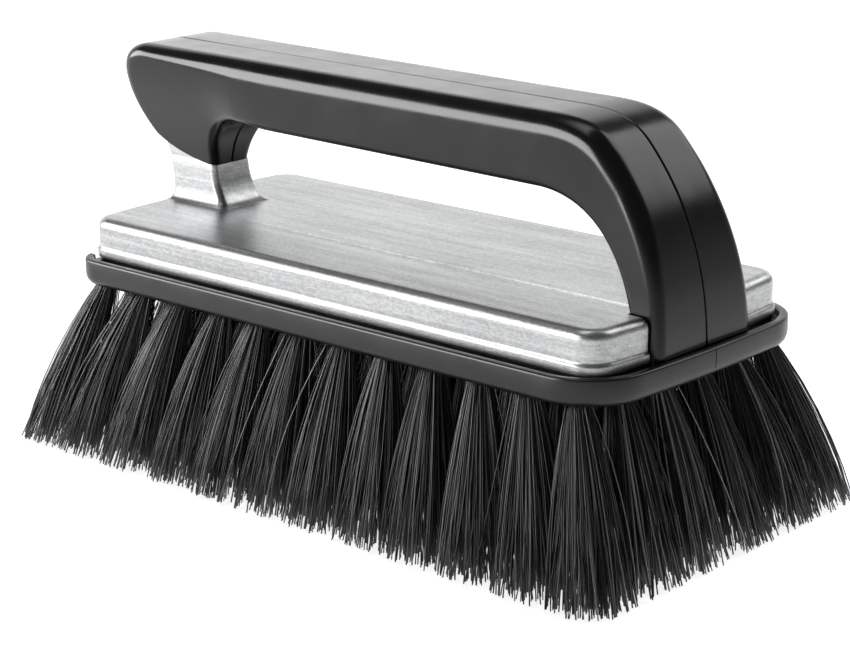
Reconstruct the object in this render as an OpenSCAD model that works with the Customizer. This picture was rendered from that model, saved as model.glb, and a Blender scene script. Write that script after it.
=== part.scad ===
// Hand scrub brush for wheels. A closed two-half handle stands on a cast back plate; the plate is screwed
// to a moulded block that carries twelve columns of six tufts. Origin: centre of the footprint, with the
// tips at z = 0.
// +X is the front end, where the handle's front leg passes down through the plate. Sizes in millimetres.

/* [Block and plate] */
// How far the moulded block reaches in front of the plate
front_reach = 4; // [3:0.5:6]
// Width of the moulded block over its lip
block_width = 77; // [66:1:90]
// Height of the block from its underside to the top of the lip
block_height = 6.4; // [5.5:0.1:9]
// Length of the cast plate
plate_length = 160; // [142:1:182]
// Width of the cast plate
plate_width = 68; // [58:1:80]
// Thickness of the cast plate
plate_height = 9.5; // [8:0.5:14]
// How far both ends bow outward at the centre line
end_bow = 2; // [0:0.5:5]

/* [Bristles] */
// Free length of the tufts, block underside to cut tips
bristle_length = 39; // [25:1:50]
// Spacing of the tuft holes along the block
column_pitch = 13.1; // [12.6:0.1:13.2]
// Spacing of the tuft holes across the block
row_pitch = 12.8; // [12:0.1:12.9]
// Diameter of a tuft hole
tuft_hole = 3.8; // [3:0.1:4]
// Overall length of the brushing face at the tips
tip_length = 184; // [170:1:190]
// Overall width of the brushing face at the tips
tip_width = 101; // [90:1:110]

/* [Handle] */
// Half of the grip width
grip_half = 15; // [13:0.5:17]
// Half of the width of the front leg at its foot
foot_half = 17; // [15:0.5:18]
// Half of the width of the rear leg where it meets the post
neck_half = 6; // [5.5:0.5:10]
// Edge radius along the top and front of the handle
top_round = 4.6; // [3:0.2:6]
// Edge radius round the finger gap
gap_round = 2; // [1:0.2:3]

/* [Fasteners] */
// Diameter of the screws that close the handle
screw_d = 3; // [3:0.5:4]
// Diameter of the screws that hold the block
block_screw_d = 3.5; // [3:0.5:4]

/* [Show] */
// Piece to show on its own

/* [Hidden] */
$fn = 32;
columns = 12;
rows = 6;
z_block = bristle_length;
z_lip = z_block + block_height;
z_seat = z_lip - 0.4;
z_moat = z_lip - 2;
plate_corner = 6.5;
z_plate = z_seat + plate_height;
lip = 2;
lip_end = 33.4;
socket_x = 74.5;
crease_z = 64.7;
handle_screw_at = [[-66, 86.5], [-22, 86], [26, 85.7], [64.5, 80]];
block_screw_at = [for (i = [-4, 0, 4]) for (j = [-1, 1]) [i * column_pitch, j * row_pitch]];
foot_screw_at = [[78, -row_pitch], [78, row_pitch]];
neck_pin_at = [-69.2, 75.5];
black = [0.07, 0.07, 0.075];
fibre = [0.10, 0.10, 0.10];
cast = [0.78, 0.79, 0.80];
steel = [0.55, 0.56, 0.58];

// ---- shared shapes ----

function smooth(t) = let (c = min(1, max(0, t))) c * c * (3 - 2 * c);
function curve(p, t) = pow(1 - t, 3) * p[0] + 3 * pow(1 - t, 2) * t * p[1]
    + 3 * (1 - t) * t * t * p[2] + t * t * t * p[3];
function run(p, a, b, n) = [for (i = [0:n - 1]) curve(p, a + (b - a) * i / n)];
function straight(a, b, n) = [for (i = [0:n - 1]) a + (b - a) * i / n];
function flat(list) = [for (part = list) for (item = part) item];

// One end of a rounded rectangle, bowed outward, counter-clockwise from above
function end_outline(reach, w, r) = let (
    h = w / 2, end = [for (i = [0:6]) let (y = -(h - r) + i * (h - r) / 3)
        [reach - end_bow * pow(y / h, 2), y]],
    c = reach - end_bow * pow((h - r) / h, 2) - r,
    quarter = [for (i = [1:8]) let (a = 90 * i / 8) [c + r * cos(a), h - r + r * sin(a)]])
    concat([for (i = [7:-1:0]) [quarter[i][0], -quarter[i][1]]], end, quarter);

// Ring at a height, from its reach at the front and the rear and the corner radius of each
function ring(front, rear, w, front_r, rear_r, z) =
    [for (q = concat(end_outline(front, w, front_r), [for (q = end_outline(rear, w, rear_r)) -q]))
        [q[0], q[1], z]];

// Closed solid through a list of rings that all have the same number of points
module skin(rings) {
    n = len(rings[0]);
    m = len(rings);
    sides = [for (i = [0:m - 2]) for (j = [0:n - 1]) for (k = [0, 1])
        let (a = i * n + j, b = i * n + (j + 1) % n, c = a + n, d = b + n)
        k == 0 ? [a, c, b] : [b, c, d]];
    ends = [[for (j = [0:n - 1]) j], [for (j = [n - 1:-1:0]) (m - 1) * n + j]];
    polyhedron(flat(rings), concat(ends, sides), convexity = 8);
}

// Bar laid across the brush: a side-view outline (x, z) given depth from y0 to y1
module across(points, y0, y1) {
    translate([0, y1, 0]) rotate([90, 0, 0]) linear_extrude(height = y1 - y0) polygon(points);
}

// Round hole or pin across the brush at a side-view position
module crosswise(at, d, y0, y1) {
    translate([at[0], y0, at[1]]) rotate([-90, 0, 0]) cylinder(d = d, h = y1 - y0);
}

// ---- handle ----

beak = [[-76, 63], [-81.6, 69.8], [-87.6, 76], [-87.4, 86]];
nose = [[-87.4, 86], [-87.3, 90.5], [-84.5, 93.8], [-79, 93.8]];
arch = [[-62.8, 60], [-62.9, 71], [-58.5, 78], [-47, 78.2]];
bend = [[48.5, 93], [57, 92.8], [61.4, 91.4], [65.5, 87.2]];
shin = [[65.5, 87.2], [74.6, 77.2], [81.8, 64], [81.5, z_moat]];
crook = [[46, 77], [61.4, 76.8], [72.2, 66], [socket_x, z_moat]];
joint = [[-81.5, 70.9], [-77, 67.2], [-69.5, 65.1], [-60, 64.3]];

upper_line = concat(run(beak, 0, 1, 7), run(nose, 0, 1, 5), straight([-79, 93.8], [-46, 93.6], 4),
    straight([-46, 93.6], bend[0], 3), run(bend, 0, 1, 5), run(shin, 0, 1, 8), [shin[3]]);
lower_line = concat(run(arch, 0, 0.5, 7), run(arch, 0.5, 0.7, 5), run(arch, 0.7, 1, 4),
    straight(arch[3], crook[0], 3), run(crook, 0, 0.3, 5), run(crook, 0.3, 1, 8), [crook[3]]);
joint_line = concat([[-91, 81]], run(joint, 0, 1, 8), [joint[3], [-50, 64]]);

function neck_width(z) = neck_half + (grip_half - neck_half) * smooth((z - 62) / 32);
function half_width(p) = p[0] < -38
    ? grip_half - (grip_half - neck_width(p[1])) * smooth((-38 - p[0]) / 22)
    : grip_half + (foot_half - grip_half) * min(1, max(0, (78 - p[1]) / 33));
function edge_round(p) = p[0] < -60 ? 1.4 + (top_round - 1.4) * smooth((p[1] - 70) / 20)
    : top_round - 0.8 * smooth((88 - p[1]) / 10);

// Half section of the handle between one point of the upper line and one of the lower line
function section(o, n) = let (v = (n - o) / norm(n - o), r = edge_round(o), q = gap_round)
    concat([[o[0], 0, o[1]]],
        [for (i = [0:4]) let (a = 22.5 * i, p = o + v * r * (1 - cos(a)))
            [p[0], half_width(p) - r * (1 - sin(a)), p[1]]],
        [for (k = [1, 2]) let (p = o + v * (r + (norm(n - o) - r - q) * k / 3))
            [p[0], half_width(p), p[1]]],
        [for (i = [3:-1:0]) let (a = 30 * i, p = n - v * q * (1 - cos(a)))
            [p[0], half_width(p) - q * (1 - sin(a)), p[1]]],
        [[n[0], 0, n[1]]]);

module half_form() {
    difference() {
        skin([for (i = [len(upper_line) - 1:-1:0]) section(upper_line[i], lower_line[i])]);
        across(concat(joint_line, [[-50, 50], [-90, 50]]), -1, 20);
    }
}

// Moulding cores: the grip and the leg are hollow, with round bosses left standing for the screws
module half_cores() {
    difference() {
        union() {
            across([[-50, 82], [-50, 90], [46, 89.6], [58, 88.2], [61, 85.5], [50, 81], [40, 80.8]],
                -1, 11.5);
            across([[67, 81], [71.5, 74.5], [76, 64], [77, 54.5], [76.4, 54.5], [73.2, 66], [66, 77]], -1, 12);
        }
        for (p = handle_screw_at) crosswise(p, 7.5, -2, 13);
    }
}

// Slot for the tongue of the casting
module neck_slot() {
    translate([-73, -1, 60]) cube([8, 4, 20]);
}

module handle_half_far() {
    color(black) difference() {
        half_form();
        half_cores();
        neck_slot();
        for (p = handle_screw_at) {
            crosswise(p, screw_d, -1, 9);
            crosswise(p, 7, 8, 20);
        }
        crosswise(neck_pin_at, screw_d, -1, 9);
        crosswise(neck_pin_at, 7, 6.5, 20);
        foot_bores();
    }
}

module handle_half_near() {
    color(black) mirror([0, 1, 0]) difference() {
        half_form();
        half_cores();
        neck_slot();
        for (p = handle_screw_at) crosswise(p, screw_d, -1, 9);
        crosswise(neck_pin_at, screw_d, -1, 7);
        foot_bores();
    }
}

module foot_bores() {
    translate([foot_screw_at[1][0], foot_screw_at[1][1], z_moat - 1]) cylinder(d = screw_d, h = 11);
}

// ---- casting ----

function plate_ring(inset, z) = ring(plate_length / 2 - inset, plate_length / 2 - inset,
    plate_width - 2 * inset, plate_corner - inset, plate_corner - inset, z);

post_side = concat([[-54, z_plate - 1], [-56.8, z_plate], [-58.8, 55.4], [-60.4, 57]],
    [[-61.9, 60.5], [-62.6, 64]],
    [[-62.6, 90], [-81.6, 90]],
    [[-81.2, 70.2], [-78.9, crease_z], [-77.8, 60.5], [-77.6, 57], [-77.9, 55.5]],
    [[-78.3, z_plate], [-78.3, z_plate - 1]]);
post_front = [[8.8, z_plate - 1], [8.8, z_plate], [7.7, 55.4], [7, 57], [6.5, 60.5], [6.1, crease_z - 0.3],
    [5.8, crease_z], [5.8, 90]];

module post() {
    difference() {
        intersection() {
            across(post_side, -12, 12);
            translate([-90, 0, 0]) rotate([90, 0, 90]) linear_extrude(height = 45)
                polygon(concat(post_front, [for (i = [len(post_front) - 1:-1:0])
                    [-post_front[i][0], post_front[i][1]]]));
        }
        across(concat(joint_line, [[-50, 100], [-90, 100]]), -20, 20);
    }
}

module back_casting() {
    color(cast) difference() {
        union() {
            skin([plate_ring(0, z_seat), plate_ring(0, z_seat + 2.2), plate_ring(0.5, z_seat + 2.7),
                plate_ring(0.5, z_plate - 2), plate_ring(0.8, z_plate - 1.1), plate_ring(1.4, z_plate - 0.4),
                plate_ring(2.4, z_plate)]);
            post();
            translate([-73, -3, 62]) cube([8, 6, 17]);
        }
        // Notch for the front leg of the handle
        translate([socket_x - 2.2, -foot_half - 0.3, z_seat - 1]) cube([20, 2 * foot_half + 0.6, 20]);
        // Shallow channel along the top
        translate([-50, -17, z_plate - 0.35]) cube([socket_x + 46, 6, 1]);
        // Pockets cored out of the underside
        for (x = [-66, -26, 14]) translate([x, -6, z_seat - 1]) cube([x < 0 && x > -30 ? 20 : 24, 12, 6]);
        for (x = [-44, 12], y = [-27, 19]) translate([x, y, z_seat - 1]) cube([32, 8, 6]);
        for (p = block_screw_at) translate([p[0], p[1], z_seat - 1]) cylinder(d = block_screw_d, h = 8);
        crosswise(neck_pin_at, screw_d, -5, 5);
    }
}

// ---- block, tufts and anchors ----

function hole_x(c) = (c - (columns - 1) / 2) * column_pitch;
function hole_y(r) = (r - (rows - 1) / 2) * row_pitch;
function block_ring(inset, z) = ring(plate_length / 2 + front_reach - inset, plate_length / 2 + 0.4 - inset,
    block_width - 2 * inset, 15 - inset, 8 - inset, z);
hole_depth = 4.4;

module brush_block() {
    color(black) difference() {
        skin([block_ring(2.2, z_block), block_ring(0.9, z_block + 0.5), block_ring(0.2, z_block + 1.6),
            block_ring(0, z_block + 2.6), block_ring(0, z_lip - 0.4), block_ring(0.4, z_lip)]);
        // Moat inside the lip, open at the rear end, with the seat for the casting left standing
        difference() {
            union() {
                skin([block_ring(lip, z_moat), block_ring(lip, z_lip + 1)]);
                translate([-plate_length / 2 - 2, -lip_end, z_moat]) cube([6, 2 * lip_end, 4]);
            }
            skin([plate_ring(0.5, z_moat - 1), plate_ring(0.5, z_seat)]);
        }
        // Socket for the foot of the front leg
        translate([socket_x, -foot_half, z_moat]) cube([6, 2 * foot_half, 4]);
        for (c = [0:columns - 1], r = [0:rows - 1])
            translate([hole_x(c), hole_y(r), z_block - 1]) cylinder(d = tuft_hole, h = hole_depth + 1, $fn = 16);
        for (p = block_screw_at) screw_seat(p, block_screw_d);
        for (p = foot_screw_at) screw_seat(p, screw_d);
    }
}

module screw_seat(p, d) {
    translate([p[0], p[1], z_block - 1]) cylinder(d = d, h = 12);
    translate([p[0], p[1], z_block - 1]) cylinder(d = 6.6, h = 3);
}

// Tip cell of one tuft: a tile of the brushing face, with the four outer corners taken off
function tip_cell(c, r) = let (
    dx = tip_length / columns, dy = tip_width / rows, g = 0.15,
    x0 = c * dx - tip_length / 2 + g, x1 = x0 + dx - 2 * g,
    y0 = r * dy - tip_width / 2 + g, y1 = y0 + dy - 2 * g,
    sx = c == 0 ? -1 : c == columns - 1 ? 1 : 0, sy = r == 0 ? -1 : r == rows - 1 ? 1 : 0)
    flat([for (q = [[x0, y0, -1, -1], [x1, y0, 1, -1], [x1, y1, 1, 1], [x0, y1, -1, 1]])
        q[2] == sx && q[3] == sy ? [[q[0], q[1] - sy * 9], [q[0] - sx * 8, q[1]]] : [[q[0], q[1]]]]);

module tuft(c, r) {
    x = hole_x(c);
    y = hole_y(r);
    hull() {
        translate([x, y, z_block - 0.4]) cylinder(d = tuft_hole - 0.6, h = 0.2, $fn = 16);
        linear_extrude(height = 0.5) polygon(tip_cell(c, r));
    }
    difference() {
        translate([x, y, z_block - 0.5]) cylinder(d = tuft_hole, h = hole_depth + 0.5, $fn = 16);
        anchor_at(x, y);
    }
}

module anchor_at(x, y) {
    translate([x - 0.3, y - 1.6, z_block + hole_depth - 1.4]) cube([0.6, 3.2, 1.4]);
}

module tufts(c) {
    color(fibre) for (r = [0:rows - 1]) tuft(c, r);
}

module tuft_anchors() {
    color(steel) for (c = [0:columns - 1], r = [0:rows - 1]) anchor_at(hole_x(c), hole_y(r));
}

// ---- screws ----

// Pan-head screw along +Z: the underside of the head is at z = 0, the shank runs to z = length
module screw(d, head, length) {
    difference() {
        union() {
            cylinder(d = d, h = length);
            translate([0, 0, -1.8]) cylinder(d = head, h = 1.8);
        }
        for (a = [0, 90]) rotate(a) translate([-1.7, -0.35, -2.8]) cube([3.4, 0.7, 1.9]);
    }
}

module handle_screws() {
    color(steel) for (p = handle_screw_at)
        translate([p[0], 8, p[1]]) rotate([90, 0, 0]) screw(screw_d, 6, 16);
}

module neck_screw() {
    color(steel) translate([neck_pin_at[0], 6.5, neck_pin_at[1]]) rotate([90, 0, 0]) screw(screw_d, 6, 12.5);
}

module block_screws() {
    color(steel) for (p = block_screw_at) translate([p[0], p[1], z_block + 2]) screw(block_screw_d, 6.2, 10);
}

module foot_screws() {
    color(steel) for (p = foot_screw_at) translate([p[0], p[1], z_block + 2]) screw(screw_d, 6, 11);
}

back_casting();
handle_half_near();
handle_half_far();
brush_block();
handle_screws();
neck_screw();
block_screws();
foot_screws();
tuft_anchors();
tufts(0);  // tufts_column_01
tufts(1);  // tufts_column_02
tufts(2);  // tufts_column_03
tufts(3);  // tufts_column_04
tufts(4);  // tufts_column_05
tufts(5);  // tufts_column_06
tufts(6);  // tufts_column_07
tufts(7);  // tufts_column_08
tufts(8);  // tufts_column_09
tufts(9);  // tufts_column_10
tufts(10);  // tufts_column_11
tufts(11);  // tufts_column_12
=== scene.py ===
"""Hand scrub brush for wheels: a closed plastic handle on a cast plate, screwed to a bristle block.

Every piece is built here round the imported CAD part, in metres, in the part's own place: the front
end points along +X, the near side along -Y, and the bristle tips touch z = 0.
"""

import math
import random

import bmesh
import bpy
from mathutils import Matrix, Vector


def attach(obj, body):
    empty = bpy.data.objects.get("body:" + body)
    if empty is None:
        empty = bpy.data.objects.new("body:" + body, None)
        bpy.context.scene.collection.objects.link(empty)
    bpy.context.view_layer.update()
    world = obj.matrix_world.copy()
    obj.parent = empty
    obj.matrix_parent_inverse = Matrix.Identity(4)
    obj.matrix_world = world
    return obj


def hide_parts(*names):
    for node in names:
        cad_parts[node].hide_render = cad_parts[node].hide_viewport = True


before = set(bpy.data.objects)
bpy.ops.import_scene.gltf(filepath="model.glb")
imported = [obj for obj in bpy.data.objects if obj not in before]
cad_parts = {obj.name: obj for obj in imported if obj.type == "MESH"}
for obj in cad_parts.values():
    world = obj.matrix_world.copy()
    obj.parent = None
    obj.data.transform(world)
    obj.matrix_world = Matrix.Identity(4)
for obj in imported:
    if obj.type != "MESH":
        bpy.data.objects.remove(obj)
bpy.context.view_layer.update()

# ---- Brush block ----
# A flat black tray that holds the tufts. A lip stands along its two sides and its front, with a moat inside
# it, and the rear end is open. Injection moulded polypropylene. The casting sits on the raised seat inside
# the moat, and six screws hold it from below.
MM = 0.001
COLUMNS, ROWS = 12, 6
COLUMN_PITCH, ROW_PITCH = 13.1, 12.8
# Front reach, rear reach, width, front corner radius and rear corner radius
BLOCK = (84, 80.4, 77, 15, 8)
PLATE = (80, 80, 68, 6.5, 6.5)
END_BOW = 2
# Heights, and the levels of each outline as (inset, height)
UNDERSIDE, MOAT, SEAT = 39.0, 43.4, 45.0
BLOCK_LEVELS = ((2.6, UNDERSIDE), (1.7, 39.1), (0.95, 39.45), (0.4, 40.1), (0.1, 40.9), (0, 41.8), (0, 44.85),
                (0.06, 45.1), (0.2, 45.27), (0.45, 45.37), (0.8, 45.4))
MOAT_LEVELS = ((2.15, MOAT), (2.05, 43.5), (2.0, 45.05), (1.85, 45.3), (1.55, 45.41), (1.5, 47))
REAR_OPENING = ((-82, -33.4, MOAT), (-76, 33.4, 46.5))
SEAT_INSET = 0.5
LEG_SOCKET = ((74.5, -17, MOAT), (80.5, 17, 50))
SEAM_SLIT = ((83.85, -0.13, 38), (85, 0.13, 47))
# Radii of the holes, and the height of the screws' own seats
TUFT_HOLE, BLOCK_SCREW_HOLE, FOOT_SCREW_HOLE, HEAD_SEAT = 1.9, 1.75, 1.5, 3.3
HEAD_SEAT_TOP = 41


def linear(code, alpha=1.0):
    """An sRGB hex colour as the linear colour that a shader takes."""
    parts = [int(code[i : i + 2], 16) / 255 for i in (0, 2, 4)]
    return [c / 12.92 if c <= 0.04045 else ((c + 0.055) / 1.055) ** 2.4 for c in parts] + [alpha]


def add(tree, kind, links=None, **settings):
    """Adds a node, sets its properties and sockets, and links {socket: output} into it."""
    node = tree.nodes.new(kind)
    sockets = settings.pop("sockets", {})
    for name, value in settings.items():
        setattr(node, name, value)
    for name, value in sockets.items():
        node.inputs[name].default_value = value
    for name, output in (links or {}).items():
        tree.links.new(output, node.inputs[name])
    return node


def new_material(name):
    """An empty node material with its output and its shader."""
    material = bpy.data.materials.new(name)
    material.use_nodes = True
    tree = material.node_tree
    tree.nodes.clear()
    shader = add(tree, "ShaderNodeBsdfPrincipled")
    add(tree, "ShaderNodeOutputMaterial", {"Surface": shader.outputs["BSDF"]})
    return material, tree, shader


def moulded_plastic(name, dark, light, rough_low, rough_high, grain, ior):
    """Black moulded plastic: a fine grain, slow sink marks and patches that are more or less polished."""
    material, tree, shader = new_material(name)
    place = add(tree, "ShaderNodeTexCoord").outputs["Object"]
    patches = add(tree, "ShaderNodeTexNoise", {"Vector": place}, sockets={"Scale": 1 / (9 * MM), "Detail": 5})
    specks = add(tree, "ShaderNodeTexNoise", {"Vector": place},
                 sockets={"Scale": 1 / (0.9 * MM), "Detail": 3})
    mould = add(tree, "ShaderNodeTexNoise", {"Vector": place},
                sockets={"Scale": 1 / (grain * MM), "Detail": 2})
    sink = add(tree, "ShaderNodeTexNoise", {"Vector": place}, sockets={"Scale": 1 / (24 * MM), "Detail": 1})
    dust = add(tree, "ShaderNodeMapRange", {"Value": specks.outputs["Fac"]},
               sockets={"From Min": 0.62, "From Max": 0.78, "To Min": 0.0, "To Max": 0.35})
    tone = add(tree, "ShaderNodeMix", {"Factor": dust.outputs["Result"]}, data_type="RGBA",
               sockets={"A": linear(dark), "B": linear(light)})
    rough = add(tree, "ShaderNodeMapRange", {"Value": patches.outputs["Fac"]},
                sockets={"From Min": 0.3, "From Max": 0.7, "To Min": rough_low, "To Max": rough_high})
    fine = add(tree, "ShaderNodeBump", {"Height": mould.outputs["Fac"]},
               sockets={"Strength": 0.6, "Distance": 0.012 * MM})
    slow = add(tree, "ShaderNodeBump", {"Height": sink.outputs["Fac"], "Normal": fine.outputs["Normal"]},
               sockets={"Strength": 0.35, "Distance": 0.2 * MM})
    tree.links.new(tone.outputs["Result"], shader.inputs["Base Color"])
    tree.links.new(rough.outputs["Result"], shader.inputs["Roughness"])
    tree.links.new(slow.outputs["Normal"], shader.inputs["Normal"])
    shader.inputs["IOR"].default_value = ior
    return material


def end_outline(reach, width, radius):
    """One end of a rounded rectangle, bowed outward, counter-clockwise from above."""
    half = width / 2
    corner = reach - END_BOW * ((half - radius) / half) ** 2 - radius
    steps = 12
    side = []
    for i in range(steps):
        y = (half - radius) * (2 * i / steps - 1)
        side.append((reach - END_BOW * (y / half) ** 2, y))
    for i in range(steps + 1):
        a = math.radians(90 * i / steps)
        side.append((corner + radius * math.cos(a), half - radius + radius * math.sin(a)))
    return [(x, -y) for x, y in reversed(side[steps:])] + side[1:]


def level_ring(front, rear, width, front_radius, rear_radius, inset, z):
    """One level of a tray or plate, drawn in by an inset. Sizes in millimetres."""
    points = end_outline(front - inset, width - 2 * inset, front_radius - inset)
    points += [(-x, -y) for x, y in end_outline(rear - inset, width - 2 * inset, rear_radius - inset)]
    return [Vector((x, y, z)) * MM for x, y in points]


def loft(bm, rings):
    """Extrudes a closed ring from place to place and caps both ends."""
    verts = [bm.verts.new(p) for p in rings[0]]
    edges = [bm.edges.new((verts[i - 1], verts[i])) for i in range(len(verts))]
    bmesh.ops.contextual_create(bm, geom=edges)
    for ring in rings[1:]:
        made = bmesh.ops.extrude_edge_only(bm, edges=edges)["geom"]
        fresh = {v for v in made if isinstance(v, bmesh.types.BMVert)}
        verts = [next(e.other_vert(v) for e in v.link_edges if e.other_vert(v) in fresh) for v in verts]
        for vert, place in zip(verts, ring):
            vert.co = place
        edges = [bm.edges.get((verts[i - 1], verts[i])) for i in range(len(verts))]
    bmesh.ops.contextual_create(bm, geom=edges)
    bmesh.ops.recalc_face_normals(bm, faces=bm.faces)


def make_piece(bm, name):
    """Turns a bmesh into an object at the origin."""
    mesh = bpy.data.meshes.new(name)
    bm.to_mesh(mesh)
    bm.free()
    piece = bpy.data.objects.new(name, mesh)
    bpy.context.collection.objects.link(piece)
    return piece


def settle(piece):
    """Applies the modifiers that a piece carries."""
    bpy.context.view_layer.update()
    mesh = bpy.data.meshes.new_from_object(piece.evaluated_get(bpy.context.evaluated_depsgraph_get()))
    piece.modifiers.clear()
    piece.data = mesh


def cut(piece, tool, operation="DIFFERENCE"):
    """Cuts a piece with a tool, or joins the tool to it, and throws the tool away."""
    step = piece.modifiers.new("cut", "BOOLEAN")
    step.operation = operation
    step.solver = "EXACT"
    step.object = tool
    settle(piece)
    bpy.data.objects.remove(tool)


def bar(bm, low, high):
    """A straight-sided block between two corners, in millimetres."""
    made = bmesh.ops.create_cube(bm, size=1)["verts"]
    low, high = Vector(low) * MM, Vector(high) * MM
    bmesh.ops.scale(bm, vec=high - low, verts=made)
    bmesh.ops.translate(bm, vec=(low + high) / 2, verts=made)


def pin(bm, at, radius, low, high, axis="Z", sides=32):
    """A round pin along Z or Y, in millimetres, as a tool that bores a hole."""
    made = bmesh.ops.create_cone(bm, cap_ends=True, segments=sides, radius1=radius * MM,
                                 radius2=radius * MM, depth=(high - low) * MM)["verts"]
    middle = (low + high) / 2
    if axis == "Y":
        bmesh.ops.rotate(bm, cent=(0, 0, 0), matrix=Matrix.Rotation(math.pi / 2, 3, "X"), verts=made)
        bmesh.ops.translate(bm, vec=Vector((at[0], middle, at[1])) * MM, verts=made)
    else:
        bmesh.ops.translate(bm, vec=Vector((at[0], at[1], middle)) * MM, verts=made)


def dress(piece, material, nodes, angle):
    """Gives a piece its material and its smooth shading, and ties it to the frame."""
    piece.data.materials.clear()
    piece.data.materials.append(material)
    piece.data.shade_smooth()
    piece.data.set_sharp_from_angle(angle=math.radians(angle))
    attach(piece, "root")
    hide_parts(*nodes)


def hole_centre(column, row):
    """Where a tuft goes into the block, seen from below."""
    return (column - (COLUMNS - 1) / 2) * COLUMN_PITCH, (row - (ROWS - 1) / 2) * ROW_PITCH


block_screws = [(i * COLUMN_PITCH, j * ROW_PITCH) for i in (-4, 0, 4) for j in (-1, 1)]
foot_screws = [(78, -ROW_PITCH), (78, ROW_PITCH)]

bm = bmesh.new()
loft(bm, [level_ring(*BLOCK, inset, z) for inset, z in BLOCK_LEVELS])
brush_block = make_piece(bm, "block_tray")

bm = bmesh.new()
loft(bm, [level_ring(*BLOCK, inset, z) for inset, z in MOAT_LEVELS])
moat = make_piece(bm, "moat_tool")
bm = bmesh.new()
bar(bm, *REAR_OPENING)
cut(moat, make_piece(bm, "rear_opening"), "UNION")
bm = bmesh.new()
loft(bm, [level_ring(*PLATE, SEAT_INSET, z) for z in (MOAT - 1, SEAT)])
cut(moat, make_piece(bm, "seat_form"))
cut(brush_block, moat)

bm = bmesh.new()
for column in range(COLUMNS):
    for row in range(ROWS):
        pin(bm, hole_centre(column, row), TUFT_HOLE, UNDERSIDE - 1, MOAT, sides=20)
for places, shank in ((block_screws, BLOCK_SCREW_HOLE), (foot_screws, FOOT_SCREW_HOLE)):
    for at in places:
        pin(bm, at, HEAD_SEAT, UNDERSIDE - 1, HEAD_SEAT_TOP)
        pin(bm, at, shank, HEAD_SEAT_TOP - 1, SEAT + 5)
cut(brush_block, make_piece(bm, "hole_tools"))

bm = bmesh.new()
bar(bm, *LEG_SOCKET)
bar(bm, *SEAM_SLIT)
cut(brush_block, make_piece(bm, "socket_tools"))

# Polypropylene, injection moulded: a satin black with a soft grain. Its faces stay even and its edges shine.
polypropylene = moulded_plastic("injection_moulded_polypropylene", "101011", "2A2A2B",
                                rough_low=0.26, rough_high=0.36, grain=0.35, ior=1.49)
dress(brush_block, polypropylene, ["brush_block"], 32)

# ---- Tufts ----
# Twelve columns of six tufts. Each tuft is a bundle of black drawn nylon filaments, folded over a steel
# anchor and driven into its hole. It leaves the hole tight, fans out, and is trimmed level at the tips.
FILAMENTS = 250
STEPS, SIDES = 6, 4
FILAMENT_RADIUS = (0.12, 0.17)
TIP_LENGTH, TIP_WIDTH, TIP_MARGIN = 184, 101, 0.4
ROOT_HEIGHT, ROOT_SPREAD, ROOT_JITTER = 41.5, 1.44, 0.2
# Shares of a tile: how round it is, its cut corner, and the scatter of ordinary and of stray tips
TILE_ROUND, CORNER_CUT, SCATTER, STRAY = 1.22, 1.15, 0.07, 0.45
STRAY_SHARE, SHORT_SHARE = 0.06, 0.05
# Uneven trim at the tips, how much shorter a short filament is, and the bow of each filament
TRIM, SHORTER, BOW = 0.45, (0.5, 3), 0.7
chance = random.Random(7)


def drawn_nylon():
    """Drawn nylon filament: near black, with a glint along each filament and some greyer, browner ones.
    The rarest, palest grey filaments are painted glints.
    """
    material, tree, shader = new_material("drawn_nylon_filament")
    shade = add(tree, "ShaderNodeAttribute", attribute_name="shade")
    # Mixes black to pale grey by the filament's value: a random tone, and a painted glint on the rare high
    # values
    ramp = add(tree, "ShaderNodeMix", {"Factor": shade.outputs["Fac"]}, data_type="RGBA",
               sockets={"A": linear("030303"), "B": linear("8A8785")})
    tree.links.new(ramp.outputs["Result"], shader.inputs["Base Color"])
    rough = add(tree, "ShaderNodeMapRange", {"Value": shade.outputs["Fac"]},
                sockets={"To Min": 0.32, "To Max": 0.16})
    tree.links.new(rough.outputs["Result"], shader.inputs["Roughness"])
    shader.inputs["IOR"].default_value = 1.42
    return material


def filament_template():
    """One filament: a thin four-sided ring extruded six times and closed at its tip."""
    bm = bmesh.new()
    bmesh.ops.create_circle(bm, cap_ends=False, segments=SIDES, radius=1)
    edges = list(bm.edges)
    for _ in range(STEPS):
        made = bmesh.ops.extrude_edge_only(bm, edges=edges)["geom"]
        edges = [e for e in made if isinstance(e, bmesh.types.BMEdge)]
        bmesh.ops.translate(bm, vec=(0, 0, -1), verts=[v for v in made if isinstance(v, bmesh.types.BMVert)])
    bmesh.ops.contextual_create(bm, geom=edges)
    bmesh.ops.recalc_face_normals(bm, faces=bm.faces)
    mesh = bpy.data.meshes.new("filament")
    bm.to_mesh(mesh)
    bm.free()
    return mesh


def tip_place(column, row, u, v):
    """A tip's place in its tile of the brushing face, where u and v run from -1 to 1 across the tile."""
    dx, dy = TIP_LENGTH / COLUMNS, TIP_WIDTH / ROWS
    x = (column + 0.5) * dx - TIP_LENGTH / 2 + u * dx / 2
    y = (row + 0.5) * dy - TIP_WIDTH / 2 + v * dy / 2
    return x, y


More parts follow.
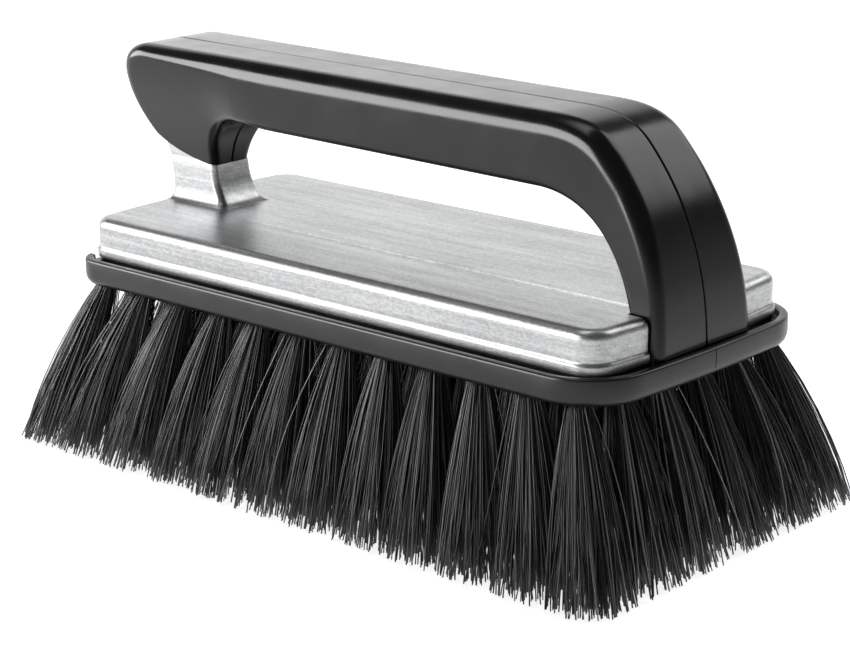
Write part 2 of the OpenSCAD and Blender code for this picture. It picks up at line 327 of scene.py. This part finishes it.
def make_tufts(column):
    """All the filaments of one column of tufts, as one piece. The end columns lose their outer corners."""
    bm = bmesh.new()
    count = ROWS * FILAMENTS
    for _ in range(count):
        bm.from_mesh(filament)
    bm.verts.ensure_lookup_table()
    tones_and_glints = []
    per_filament = SIDES * (STEPS + 1)
    for k in range(count):
        row = k // FILAMENTS
        cx, cy = hole_centre(column, row)
        # Tips spread over a rounded tile, and a few stray. A filament keeps its side of the tuft all the way
        angle = chance.uniform(0, math.tau)
        reach = math.sqrt(chance.random())
        c, s = math.cos(angle), math.sin(angle)
        square = min(1 / max(abs(c), abs(s), 1e-6), TILE_ROUND)
        u, v = c * reach * square, s * reach * square
        end = (column == 0 and u < 0) or (column == COLUMNS - 1 and u > 0)
        edge = (row == 0 and v < 0) or (row == ROWS - 1 and v > 0)
        if end and edge and abs(u) + abs(v) > CORNER_CUT:
            shrink = CORNER_CUT / (abs(u) + abs(v))
            u, v = u * shrink, v * shrink
        scatter = STRAY if chance.random() < STRAY_SHARE else SCATTER
        u, v = u + chance.gauss(0, scatter), v + chance.gauss(0, scatter)
        tx, ty = tip_place(column, row, u, v)
        tx = min(max(tx, TIP_MARGIN - TIP_LENGTH / 2), TIP_LENGTH / 2 - TIP_MARGIN)
        ty = min(max(ty, TIP_MARGIN - TIP_WIDTH / 2), TIP_WIDTH / 2 - TIP_MARGIN)
        rx = cx + ROOT_SPREAD * u + chance.uniform(-ROOT_JITTER, ROOT_JITTER)
        ry = cy + ROOT_SPREAD * v + chance.uniform(-ROOT_JITTER, ROOT_JITTER)
        tz = 0.05 + abs(chance.gauss(0, TRIM))
        tz += chance.uniform(*SHORTER) if chance.random() < SHORT_SHARE else 0
        bend_x, bend_y = chance.gauss(0, BOW), chance.gauss(0, BOW)
        radius = chance.uniform(*FILAMENT_RADIUS)
        # A random tone for each filament; the rare high values paint a pale glinting hair
        tones_and_glints.append(chance.random() ** 5)
        for j in range(STEPS + 1):
            t = j / STEPS
            spread = t + 0.3 * t * (1 - t)
            sway = 4 * t * (1 - t)
            x = rx + (tx - rx) * spread + bend_x * sway
            y = ry + (ty - ry) * spread + bend_y * sway
            z = ROOT_HEIGHT + (tz - ROOT_HEIGHT) * t
            for i in range(SIDES):
                a = math.tau * (i + 0.5) / SIDES
                bm.verts[k * per_filament + SIDES * j + i].co = (
                    (x + radius * math.cos(a)) * MM, (y + radius * math.sin(a)) * MM, z * MM)
    piece = make_piece(bm, f"tuft_filaments_{column + 1:02d}")
    attribute = piece.data.attributes.new("shade", "FLOAT", "POINT")
    attribute.data.foreach_set("value", [s for s in tones_and_glints for _ in range(per_filament)])
    return piece


filament = filament_template()
nylon = drawn_nylon()
tuft_pieces = []
for column in range(COLUMNS):
    tufts = make_tufts(column)
    tufts.data.materials.append(nylon)
    tufts.data.shade_smooth()
    tufts.data.set_sharp_from_angle(angle=math.radians(95))
    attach(tufts, "root")
    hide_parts(f"tufts_column_{column + 1:02d}")
    tuft_pieces.append(tufts)

# ---- Plate and post ----
# One casting: a rounded plate with a proud bottom flange, a notch at its front for the handle's leg, and a
# tapered post at its rear that holds the handle. Cast aluminium, linished and brushed along its length. Six
# screws from the block hold the plate, and one cross screw holds the handle to the post.
PLATE_TOP = 54.5
PLATE_LEVELS = ((0.3, SEAT), (0.05, 45.15), (0, 45.4), (0, 46.8), (0.1, 47.12), (0.32, 47.38), (0.46, 47.6),
                (0.52, 47.95), (0.52, 52.3), (0.58, 52.8), (0.76, 53.3), (1.06, 53.75), (1.45, 54.1),
                (1.95, 54.35), (2.5, 54.47), (3.1, PLATE_TOP))
LEG_NOTCH = ((73.4, -17.3, 44), (92, 17.3, 60))
# Shallow cores in the underside, as (start, length) along the middle and along both sides
CORE_TOP = 50
MIDDLE_CORES = ((-66, 24), (-26, 20), (14, 24))
MIDDLE_CORE_HALF = 6
SIDE_CORES = ((-44, 32), (12, 32))
SIDE_CORE_STARTS, SIDE_CORE_WIDTH = (-27, 19), 8
# A shallow channel along the top, as (place, depth) between two edges
CHANNEL_EDGES = (-11, -17.6)
CHANNEL = ((-46, 0.02), (-28, 0.32), (70.8, 0.32))
EDGE_ROUNDING = 0.45
# The post from its foot fillet to the neck inside the handle: its levels, then by height the places of its
# front and rear, its half width and its corner radius
POST_LEVELS = (53.9, 54.45, 54.6, 54.8, 55.0, 55.3, 55.6, 56.1, 56.6, 57.3, 58, 59, 60, 61, 62, 63,
               64.1, 64.4, 65.1, 65.4, 67, 69, 70.6, 74)
POST_FRONT = ((53.9, -56.2), (54.45, -56.7), (54.6, -57.3), (55.0, -58.2), (55.6, -59.1), (56.6, -60.0),
              (58, -60.8), (60, -61.7), (62, -62.2), (64, -62.5), (66.5, -62.6), (80, -62.6))
POST_REAR = ((53.9, -78.6), (54.45, -78.4), (54.6, -78.25), (55.0, -78.1), (55.6, -77.9), (56.6, -77.7),
             (58, -77.65), (60, -77.75), (62, -78.05), (64.3, -78.75), (64.7, -79.0), (66, -79.4),
             (68, -80.3), (70.2, -81.3), (80, -81.5))
POST_HALF = ((53.9, 9.3), (54.45, 8.6), (54.6, 8.1), (55.0, 7.5), (55.6, 7.05), (56.6, 6.75), (58, 6.6),
             (60, 6.5), (62, 6.4), (64.1, 6.3), (64.4, 6.24), (65.1, 5.9), (65.4, 5.85), (80, 5.85))
POST_CORNER = ((55.5, 1.9), (60, 1.7), (66, 1.4))
# The curved line where the post goes into the handle, seen from the side, and the places clear of both
JOINT = ((-81.5, 70.9), (-77, 67.2), (-69.5, 65.1), (-60, 64.3))
CLEAR_REAR, CLEAR_FRONT = -91, -50


def bezier(p, t):
    """A point on a cubic curve through a side view."""
    k = 1 - t
    w = (k**3, 3 * k * k * t, 3 * k * t * t, t**3)
    return tuple(sum(w[i] * p[i][a] for i in range(4)) for a in (0, 1))


def sweep(p, a, b, n):
    """Even steps along part of a curve, without its end."""
    return [bezier(p, a + (b - a) * i / n) for i in range(n)]


def slab(bm, points, low, high):
    """A side-view shape given depth across the brush, as a tool."""
    loft(bm, [[Vector((x, y, z)) * MM for x, z in points] for y in (low, high)])


def mix(table, z):
    """The value at a height, from a table of (height, value)."""
    if z <= table[0][0]:
        return table[0][1]
    for (z0, v0), (z1, v1) in zip(table, table[1:]):
        if z <= z1:
            return v0 + (v1 - v0) * (z - z0) / (z1 - z0)
    return table[-1][1]


def post_ring(z):
    """One level of the post: a rounded rectangle with a small corner radius."""
    front = mix(POST_FRONT, z)
    rear = mix(POST_REAR, z)
    half = mix(POST_HALF, z)
    radius = mix(POST_CORNER, z)
    points = []
    for sx, sy, start in ((1, -1, -90), (1, 1, 0), (-1, 1, 90), (-1, -1, 180)):
        cx = (front - radius) if sx > 0 else (rear + radius)
        cy = sy * (half - radius)
        for i in range(6):
            a = math.radians(start + 90 * i / 5)
            points.append(Vector((cx + radius * math.cos(a), cy + radius * math.sin(a), z)) * MM)
    return points


def joint_tool(end, depth):
    """The tool that trims the post or the handle: all that lies from their joint up or down to a height."""
    outline = [(CLEAR_REAR, 81)] + sweep(JOINT, 0, 1, 20) + [JOINT[3]]
    outline += [(CLEAR_FRONT, 64), (CLEAR_FRONT, end), (CLEAR_REAR, end)]
    bm = bmesh.new()
    slab(bm, outline, -depth, depth)
    return make_piece(bm, "joint_tool")


bm = bmesh.new()
loft(bm, [level_ring(*PLATE, inset, z) for inset, z in PLATE_LEVELS])
back_casting = make_piece(bm, "plate_and_post")

bm = bmesh.new()
bar(bm, *LEG_NOTCH)
for x, length in MIDDLE_CORES:
    bar(bm, (x, -MIDDLE_CORE_HALF, SEAT - 1), (x + length, MIDDLE_CORE_HALF, CORE_TOP))
for x, length in SIDE_CORES:
    for y in SIDE_CORE_STARTS:
        bar(bm, (x, y, SEAT - 1), (x + length, y + SIDE_CORE_WIDTH, CORE_TOP))
cut(back_casting, make_piece(bm, "plate_tools"))

bm = bmesh.new()
inner, outer = CHANNEL_EDGES
rings = []
for x, depth in CHANNEL:
    corners = ((inner, -depth), (inner, 1), (outer, 1), (outer, -depth))
    rings.append([Vector((x, y, PLATE_TOP + z)) * MM for y, z in corners])
loft(bm, rings)
cut(back_casting, make_piece(bm, "channel_tool"))

soften = back_casting.modifiers.new("soften", "BEVEL")
soften.width = EDGE_ROUNDING * MM
soften.segments = 3
soften.limit_method = "ANGLE"
soften.angle_limit = math.radians(60)
soften.profile = 0.5
settle(back_casting)

bm = bmesh.new()
loft(bm, [post_ring(z) for z in POST_LEVELS])
post = make_piece(bm, "post")
cut(post, joint_tool(90, 20))
cut(back_casting, post, "UNION")


def brushed_cast_aluminium():
    """Cast aluminium, brushed lengthwise: soft and bright, with hair lines, pale patches and a few pits."""
    material, tree, shader = new_material("brushed_cast_aluminium")
    place = add(tree, "ShaderNodeTexCoord").outputs["Object"]
    along = add(tree, "ShaderNodeMapping", {"Vector": place},
                sockets={"Scale": (1 / (14 * MM), 1 / (0.16 * MM), 1 / (0.16 * MM))})
    hair = add(tree, "ShaderNodeTexNoise", {"Vector": along.outputs["Vector"]},
               sockets={"Scale": 1, "Detail": 3})
    wide = add(tree, "ShaderNodeMapping", {"Vector": place},
               sockets={"Scale": (1 / (40 * MM), 1 / (3.2 * MM), 1 / (0.8 * MM))})
    bands = add(tree, "ShaderNodeTexNoise", {"Vector": wide.outputs["Vector"]},
                sockets={"Scale": 1, "Detail": 4})
    patches = add(tree, "ShaderNodeTexNoise", {"Vector": place}, sockets={"Scale": 1 / (7 * MM), "Detail": 6})
    grained = add(tree, "ShaderNodeMapping", {"Vector": place},
                  sockets={"Scale": (1 / (0.9 * MM), 1 / (0.45 * MM), 1 / (0.38 * MM))})
    grit = add(tree, "ShaderNodeTexNoise", {"Vector": grained.outputs["Vector"]},
               sockets={"Scale": 1, "Detail": 3})
    pits = add(tree, "ShaderNodeTexVoronoi", {"Vector": place}, sockets={"Scale": 1 / (4.5 * MM)})
    pit = add(tree, "ShaderNodeMapRange", {"Value": pits.outputs["Distance"]},
              sockets={"From Min": 0.03, "From Max": 0.07, "To Min": 0.6, "To Max": 0.0})
    mixed = add(tree, "ShaderNodeMath", {0: bands.outputs["Fac"], 1: grit.outputs["Fac"]}, operation="ADD")
    tint = add(tree, "ShaderNodeMapRange", {"Value": mixed.outputs["Value"]},
               sockets={"From Min": 0.75, "From Max": 1.25})
    tone = add(tree, "ShaderNodeMix", {"Factor": tint.outputs["Result"]}, data_type="RGBA",
               sockets={"A": linear("A8A9AA"), "B": linear("D0D1D2")})
    scarred = add(tree, "ShaderNodeMix", {"Factor": pit.outputs["Result"], "A": tone.outputs["Result"]},
                  data_type="RGBA", sockets={"B": linear("77787A")})
    rough = add(tree, "ShaderNodeMapRange", {"Value": patches.outputs["Fac"]},
                sockets={"From Min": 0.3, "From Max": 0.7, "To Min": 0.33, "To Max": 0.36})
    lines = add(tree, "ShaderNodeBump", {"Height": hair.outputs["Fac"]},
                sockets={"Strength": 0.5, "Distance": 0.02 * MM})
    speckle = add(tree, "ShaderNodeBump", {"Height": grit.outputs["Fac"], "Normal": lines.outputs["Normal"]},
                  sockets={"Strength": 0.7, "Distance": 0.04 * MM})
    dents = add(tree, "ShaderNodeBump",
                {"Height": pit.outputs["Result"], "Normal": speckle.outputs["Normal"]},
                sockets={"Strength": 0.6, "Distance": 0.05 * MM}, invert=True)
    tree.links.new(scarred.outputs["Result"], shader.inputs["Base Color"])
    tree.links.new(rough.outputs["Result"], shader.inputs["Roughness"])
    tree.links.new(dents.outputs["Normal"], shader.inputs["Normal"])
    shader.inputs["Metallic"].default_value = 1.0
    return material


dress(back_casting, brushed_cast_aluminium(), ["back_casting"], 28)
# The broad flat faces keep their own direction, so their shading stays even up to the rounded edges
flatten = back_casting.modifiers.new("flatten", "WEIGHTED_NORMAL")
flatten.keep_sharp = True
settle(back_casting)

# ---- Handle ----
# Two moulded halves of glossy black ABS that meet on a seam along the middle. The grip runs from the beak,
# over the post, to the bend, and the front leg curves down through the plate's notch into its socket. Five
# cross screws from the far side close the halves, one of them through the post, and two hold the leg below.
BEAK = ((-76, 63), (-81.6, 69.8), (-87.6, 76), (-87.4, 86))
NOSE = ((-87.4, 86), (-87.3, 90.5), (-84.5, 93.8), (-79, 93.8))
ARCH = ((-62.8, 60), (-62.9, 71), (-58.5, 78), (-47, 78.2))
BEND = ((48.5, 93), (57, 92.8), (61.4, 91.4), (65.5, 87.2))
SHIN = ((65.5, 87.2), (74.6, 77.2), (81.8, 64), (81.5, 43.4))
CROOK = ((46, 77), (61.4, 76.8), (72.2, 66), (74.5, 43.4))
CROWN = (-46, 93.6)
# Half widths and where they change: the neck by height and along the grip, the foot by height
GRIP_HALF, NECK_HALF, FOOT_HALF = 15, 6, 17
TAPER_START, TAPER_LENGTH = -38, 22
NECK_LOW, NECK_HEIGHT = 62, 32
FOOT_TOP, FOOT_HEIGHT = 78, 33
# Radii of the rounded edges, and the flat kept beside each
GRIP_ROUNDING, BEAK_ROUNDING, LOWER_ROUNDING, FLAT = 4.6, 1.4, 2.0, 0.5
# The groove on the seam: half width, depth and the break of its edge
SEAM_EDGE, SEAM_DEPTH, SEAM_BREAK = 0.42, 1.4, 0.16
RECESSES = ((-66, 86.5), (-22, 86), (26, 85.7), (64.5, 80))
NECK_RECESS = (-69.2, 75.5)
RECESS, RECESS_FLOOR, NECK_RECESS_FLOOR = 3.5, 8, 6.5


def straight(a, b, n):
    """Even steps along a line, without its end."""
    return [(a[0] + (b[0] - a[0]) * i / n, a[1] + (b[1] - a[1]) * i / n) for i in range(n)]


def ease(t):
    """A smooth step from 0 to 1."""
    t = min(1, max(0, t))
    return t * t * (3 - 2 * t)


def half_width(x, z):
    """Half the handle's width: narrow at the rear leg, even along the grip, wider at the foot."""
    if x < TAPER_START:
        neck = NECK_HALF + (GRIP_HALF - NECK_HALF) * ease((z - NECK_LOW) / NECK_HEIGHT)
        return GRIP_HALF - (GRIP_HALF - neck) * ease((TAPER_START - x) / TAPER_LENGTH)
    return GRIP_HALF + (FOOT_HALF - GRIP_HALF) * min(1, max(0, (FOOT_TOP - z) / FOOT_HEIGHT))


def upper_rounding(x, z):
    """Radius of the upper edge: tight low on the beak, full along the grip, tighter down the front leg."""
    if x < -60:
        return BEAK_ROUNDING + (GRIP_ROUNDING - BEAK_ROUNDING) * ease((z - 70) / 20)
    return GRIP_ROUNDING - 0.8 * ease((88 - z) / 10) - 1.3 * ease((80 - z) / 30)


def handle_rib(top, low):
    """A half section between a point of the upper line and one of the lower line, seam edge to seam edge."""
    o, n = Vector((top[0], 0, top[1])), Vector((low[0], 0, low[1]))
    span = (n - o).length
    v = (n - o) / span
    big = upper_rounding(*top)
    small = LOWER_ROUNDING

    def rim(depth, inset):
        """A point on the outside of the half, drawn in from its full width."""
        p = o + v * depth
        return p + Vector((0, half_width(p.x, p.z) - inset, 0))

    def near_seam(depth, y):
        """A point close to the seam, or on it."""
        return o + v * depth + Vector((0, y, 0))

    ring = [near_seam(SEAM_DEPTH, 0), near_seam(SEAM_BREAK, SEAM_EDGE * 0.75), near_seam(0, SEAM_EDGE)]
    ring.append(rim(0, big + FLAT))
    for i in range(11):
        a = math.radians(9 * i)
        ring.append(rim(big * (1 - math.cos(a)), big * (1 - math.sin(a))))
    ring += [rim(big + FLAT + (span - big - small - 2 * FLAT) * i / 4, 0) for i in range(5)]
    for i in range(7):
        a = math.radians(90 - 15 * i)
        ring.append(rim(span - small * (1 - math.cos(a)), small * (1 - math.sin(a))))
    ring += [rim(span, small + FLAT), near_seam(span, SEAM_EDGE)]
    ring += [near_seam(span - SEAM_BREAK, SEAM_EDGE * 0.75), near_seam(span - SEAM_DEPTH, 0)]
    return [p * MM for p in ring]


def handle_half(name, side):
    """One half of the handle, on the +Y side or mirrored to the -Y side."""
    # Both lines have the same steps, stretch by stretch, so that each rib joins a pair of points
    upper = sweep(BEAK, 0, 1, 28) + sweep(NOSE, 0, 1, 20) + straight(NOSE[3], CROWN, 12)
    upper += straight(CROWN, BEND[0], 9) + sweep(BEND, 0, 1, 20) + sweep(SHIN, 0, 1, 32) + [SHIN[3]]
    lower = sweep(ARCH, 0, 0.5, 28) + sweep(ARCH, 0.5, 0.7, 20) + sweep(ARCH, 0.7, 1, 12)
    lower += straight(ARCH[3], CROOK[0], 9) + sweep(CROOK, 0, 0.3, 20) + sweep(CROOK, 0.3, 1, 32) + [CROOK[3]]
    bm = bmesh.new()
    loft(bm, [handle_rib(o, n) for o, n in zip(upper, lower)])
    if side < 0:
        bmesh.ops.scale(bm, vec=(1, -1, 1), verts=bm.verts)
        bmesh.ops.recalc_face_normals(bm, faces=bm.faces)
    piece = make_piece(bm, name)
    cut(piece, joint_tool(50, 25))
    if side > 0:
        bm = bmesh.new()
        for at in RECESSES:
            pin(bm, at, RECESS, RECESS_FLOOR, 20, axis="Y")
        pin(bm, NECK_RECESS, RECESS, NECK_RECESS_FLOOR, 20, axis="Y")
        cut(piece, make_piece(bm, "recess_tools"))
    return piece


# ABS, injection moulded in a polished tool: deep black, clear soft highlights along the rounded edges.
abs_plastic = moulded_plastic("injection_moulded_abs", "0C0C0D", "262627",
                              rough_low=0.17, rough_high=0.24, grain=0.30, ior=1.46)
handle_near = handle_half("handle_near", -1)
dress(handle_near, abs_plastic, ["handle_half_near"], 30)
handle_far = handle_half("handle_far", 1)
dress(handle_far, abs_plastic, ["handle_half_far"], 30)

# ---- Screws and anchors ----
# The screws and the tuft anchors keep their CAD shape: pan heads with a cross slot, and small flat bars. The
# screws sit in recesses on the far side and in seats underneath, and the anchors in the blind tuft holes.


def zinc_plated_steel():
    """Zinc plated steel: bright and a little bluish, clouded by the plating."""
    material, tree, shader = new_material("zinc_plated_steel")
    place = add(tree, "ShaderNodeTexCoord").outputs["Object"]
    cloud = add(tree, "ShaderNodeTexNoise", {"Vector": place}, sockets={"Scale": 1 / (1.4 * MM), "Detail": 4})
    tone = add(tree, "ShaderNodeMix", {"Factor": cloud.outputs["Fac"]}, data_type="RGBA",
               sockets={"A": linear("9FA3A6"), "B": linear("CDD0D2")})
    rough = add(tree, "ShaderNodeMapRange", {"Value": cloud.outputs["Fac"]},
                sockets={"To Min": 0.24, "To Max": 0.4})
    tree.links.new(tone.outputs["Result"], shader.inputs["Base Color"])
    tree.links.new(rough.outputs["Result"], shader.inputs["Roughness"])
    shader.inputs["Metallic"].default_value = 1.0
    return material


# Zinc plated steel: cool and bright, so a screw head stands out in its dark recess.
steel = zinc_plated_steel()
for name in ("handle_screws", "neck_screw", "block_screws", "foot_screws", "tuft_anchors"):
    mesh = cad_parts[name].data
    mesh.materials.clear()
    mesh.materials.append(steel)

# ---- Floor ----
# A plain pale floor, a hair below the bristle tips, painted matt. It gives a white ground, and it glows less
# towards the front end, because the front leg of the handle mirrors it there and stays dark.
FLOOR_HALF, FLOOR_GAP = 8, 0.0003
GLOW_AXIS = (0.95, 0.31, 0)
bm = bmesh.new()
bmesh.ops.create_grid(bm, x_segments=1, y_segments=1, size=FLOOR_HALF)
bmesh.ops.translate(bm, vec=(0, 0, -FLOOR_GAP), verts=bm.verts)
floor = make_piece(bm, "floor")
material, tree, shader = new_material("painted_studio_floor")
shader.inputs["Base Color"].default_value = linear("F4F4F4")
shader.inputs["Roughness"].default_value = 0.8
shader.inputs["Emission Color"].default_value = linear("FFFFFF")
place = add(tree, "ShaderNodeTexCoord").outputs["Object"]
across = add(tree, "ShaderNodeVectorMath", {0: place}, operation="DOT_PRODUCT", sockets={1: GLOW_AXIS})
glow = add(tree, "ShaderNodeMapRange", {"Value": across.outputs["Value"]}, interpolation_type="SMOOTHSTEP",
           sockets={"From Min": 0.1, "From Max": 0.42, "To Min": 0.82, "To Max": 0.34})
tree.links.new(glow.outputs["Result"], shader.inputs["Emission Strength"])
floor.data.materials.append(material)

# ---- Light ----
# Soft studio light in metres: a bright backdrop behind in two bands, a soft box over the front, a box at the
# near left, a bank over the floor and a pale room. The box at the near left comes twice, linked to what it
# lights: a strong one gives the black pieces their bright edges, and a weak one keeps the casting grey. It
# shows in reflections only.
AIM = Vector((0, 0, 0.06))
SIDE_BOX_HEIGHT = 0.255
BANK_PLACE = (-0.3, 0.2, 1.0)


def soft_box(name, towards, distance, wide, tall, radiance):
    """A rectangular lamp that faces the brush from a given direction."""
    lamp = bpy.data.lights.new(name, "AREA")
    lamp.shape = "RECTANGLE"
    lamp.size, lamp.size_y = wide, tall
    lamp.energy = radiance * math.pi * wide * tall
    holder = bpy.data.objects.new(name, lamp)
    towards = Vector(towards).normalized()
    holder.location = towards * distance + AIM
    holder.rotation_euler = towards.to_track_quat("Z", "Y").to_euler()
    bpy.context.collection.objects.link(holder)
    return holder


soft_box("backdrop_low", (-0.63, 0.72, 0.13), 1.5, 2.4, 0.34, 1.38)
soft_box("backdrop_high", (-0.63, 0.72, 0.426), 1.5, 2.4, 0.46, 0.95)
soft_box("front_box", (0.27, 0.72, 0.62), 1.1, 0.6, 0.7, 2.2)
blacks = [brush_block, handle_near, handle_far] + tuft_pieces
for name, radiance, lit in (("side_box_black", 10, blacks), ("side_box_metal", 3.4, [back_casting])):
    side_box = soft_box(name, (-0.68, -0.73, 0), 0.57, 0.8, 0.38, radiance)
    side_box.location.z = SIDE_BOX_HEIGHT
    side_box.visible_diffuse = False
    receivers = bpy.data.collections.new(name)
    for piece in lit:
        receivers.objects.link(piece)
    side_box.light_linking.receiver_collection = receivers
bank = soft_box("floor_bank", (0, 0, 1), 1.0, 0.5, 1.6, 0.4)
bank.location = BANK_PLACE
bank.data.spread = math.radians(65)

# The room is pale near the ground and dimmer overhead, and dimmest towards the front of the far side
world = bpy.data.worlds.new("studio_room")
bpy.context.scene.world = world
world.use_nodes = True
tree = world.node_tree
tree.nodes.clear()
direction = add(tree, "ShaderNodeTexCoord").outputs["Generated"]
height = add(tree, "ShaderNodeSeparateXYZ", {"Vector": direction})
level = add(tree, "ShaderNodeMapRange", {"Value": height.outputs["Z"]},
            sockets={"From Min": 0.04, "From Max": 0.32, "To Min": 0.8, "To Max": 0.12})
aside = add(tree, "ShaderNodeVectorMath", {0: direction}, operation="DOT_PRODUCT",
            sockets={1: (-0.66, -0.75, 0)})
dim = add(tree, "ShaderNodeMapRange", {"Value": aside.outputs["Value"]},
          sockets={"From Min": -0.9, "From Max": 0.7, "To Min": 0.5, "To Max": 1.0})
both = add(tree, "ShaderNodeMath", {0: level.outputs["Result"], 1: dim.outputs["Result"]},
           operation="MULTIPLY")
room = add(tree, "ShaderNodeBackground", {"Strength": both.outputs["Value"]},
           sockets={"Color": linear("FFFFFF")})
add(tree, "ShaderNodeOutputWorld", {"Surface": room.outputs["Background"]})

# ---- Camera ----
# From the near front corner, a little above the handle, through a long lens. Turn, lift and roll are its
# angles from the near side, and its place is in metres.
PLACE = (0.363, -0.3983, 0.192)
TURN, LIFT, ROLL = math.radians(41.36), math.radians(16.52), math.radians(-0.29)
back = Vector((math.sin(TURN) * math.cos(LIFT), -math.cos(TURN) * math.cos(LIFT), math.sin(LIFT)))
right = (-back).cross(Vector((0, 0, 1))).normalized()
up = right.cross(-back)
right, up = (math.cos(ROLL) * right + math.sin(ROLL) * up, -math.sin(ROLL) * right + math.cos(ROLL) * up)
lens = bpy.data.cameras.new("camera")
lens.lens = 101.65
lens.sensor_width = 36
lens.shift_x, lens.shift_y = -0.0422, 0.0042
camera = bpy.data.objects.new("camera", lens)
bpy.context.collection.objects.link(camera)
camera.matrix_world = Matrix(((right.x, up.x, back.x, PLACE[0]), (right.y, up.y, back.y, PLACE[1]),
                              (right.z, up.z, back.z, PLACE[2]), (0, 0, 0, 1)))
bpy.context.scene.camera = camera
bpy.context.scene.view_settings.view_transform = "Standard"
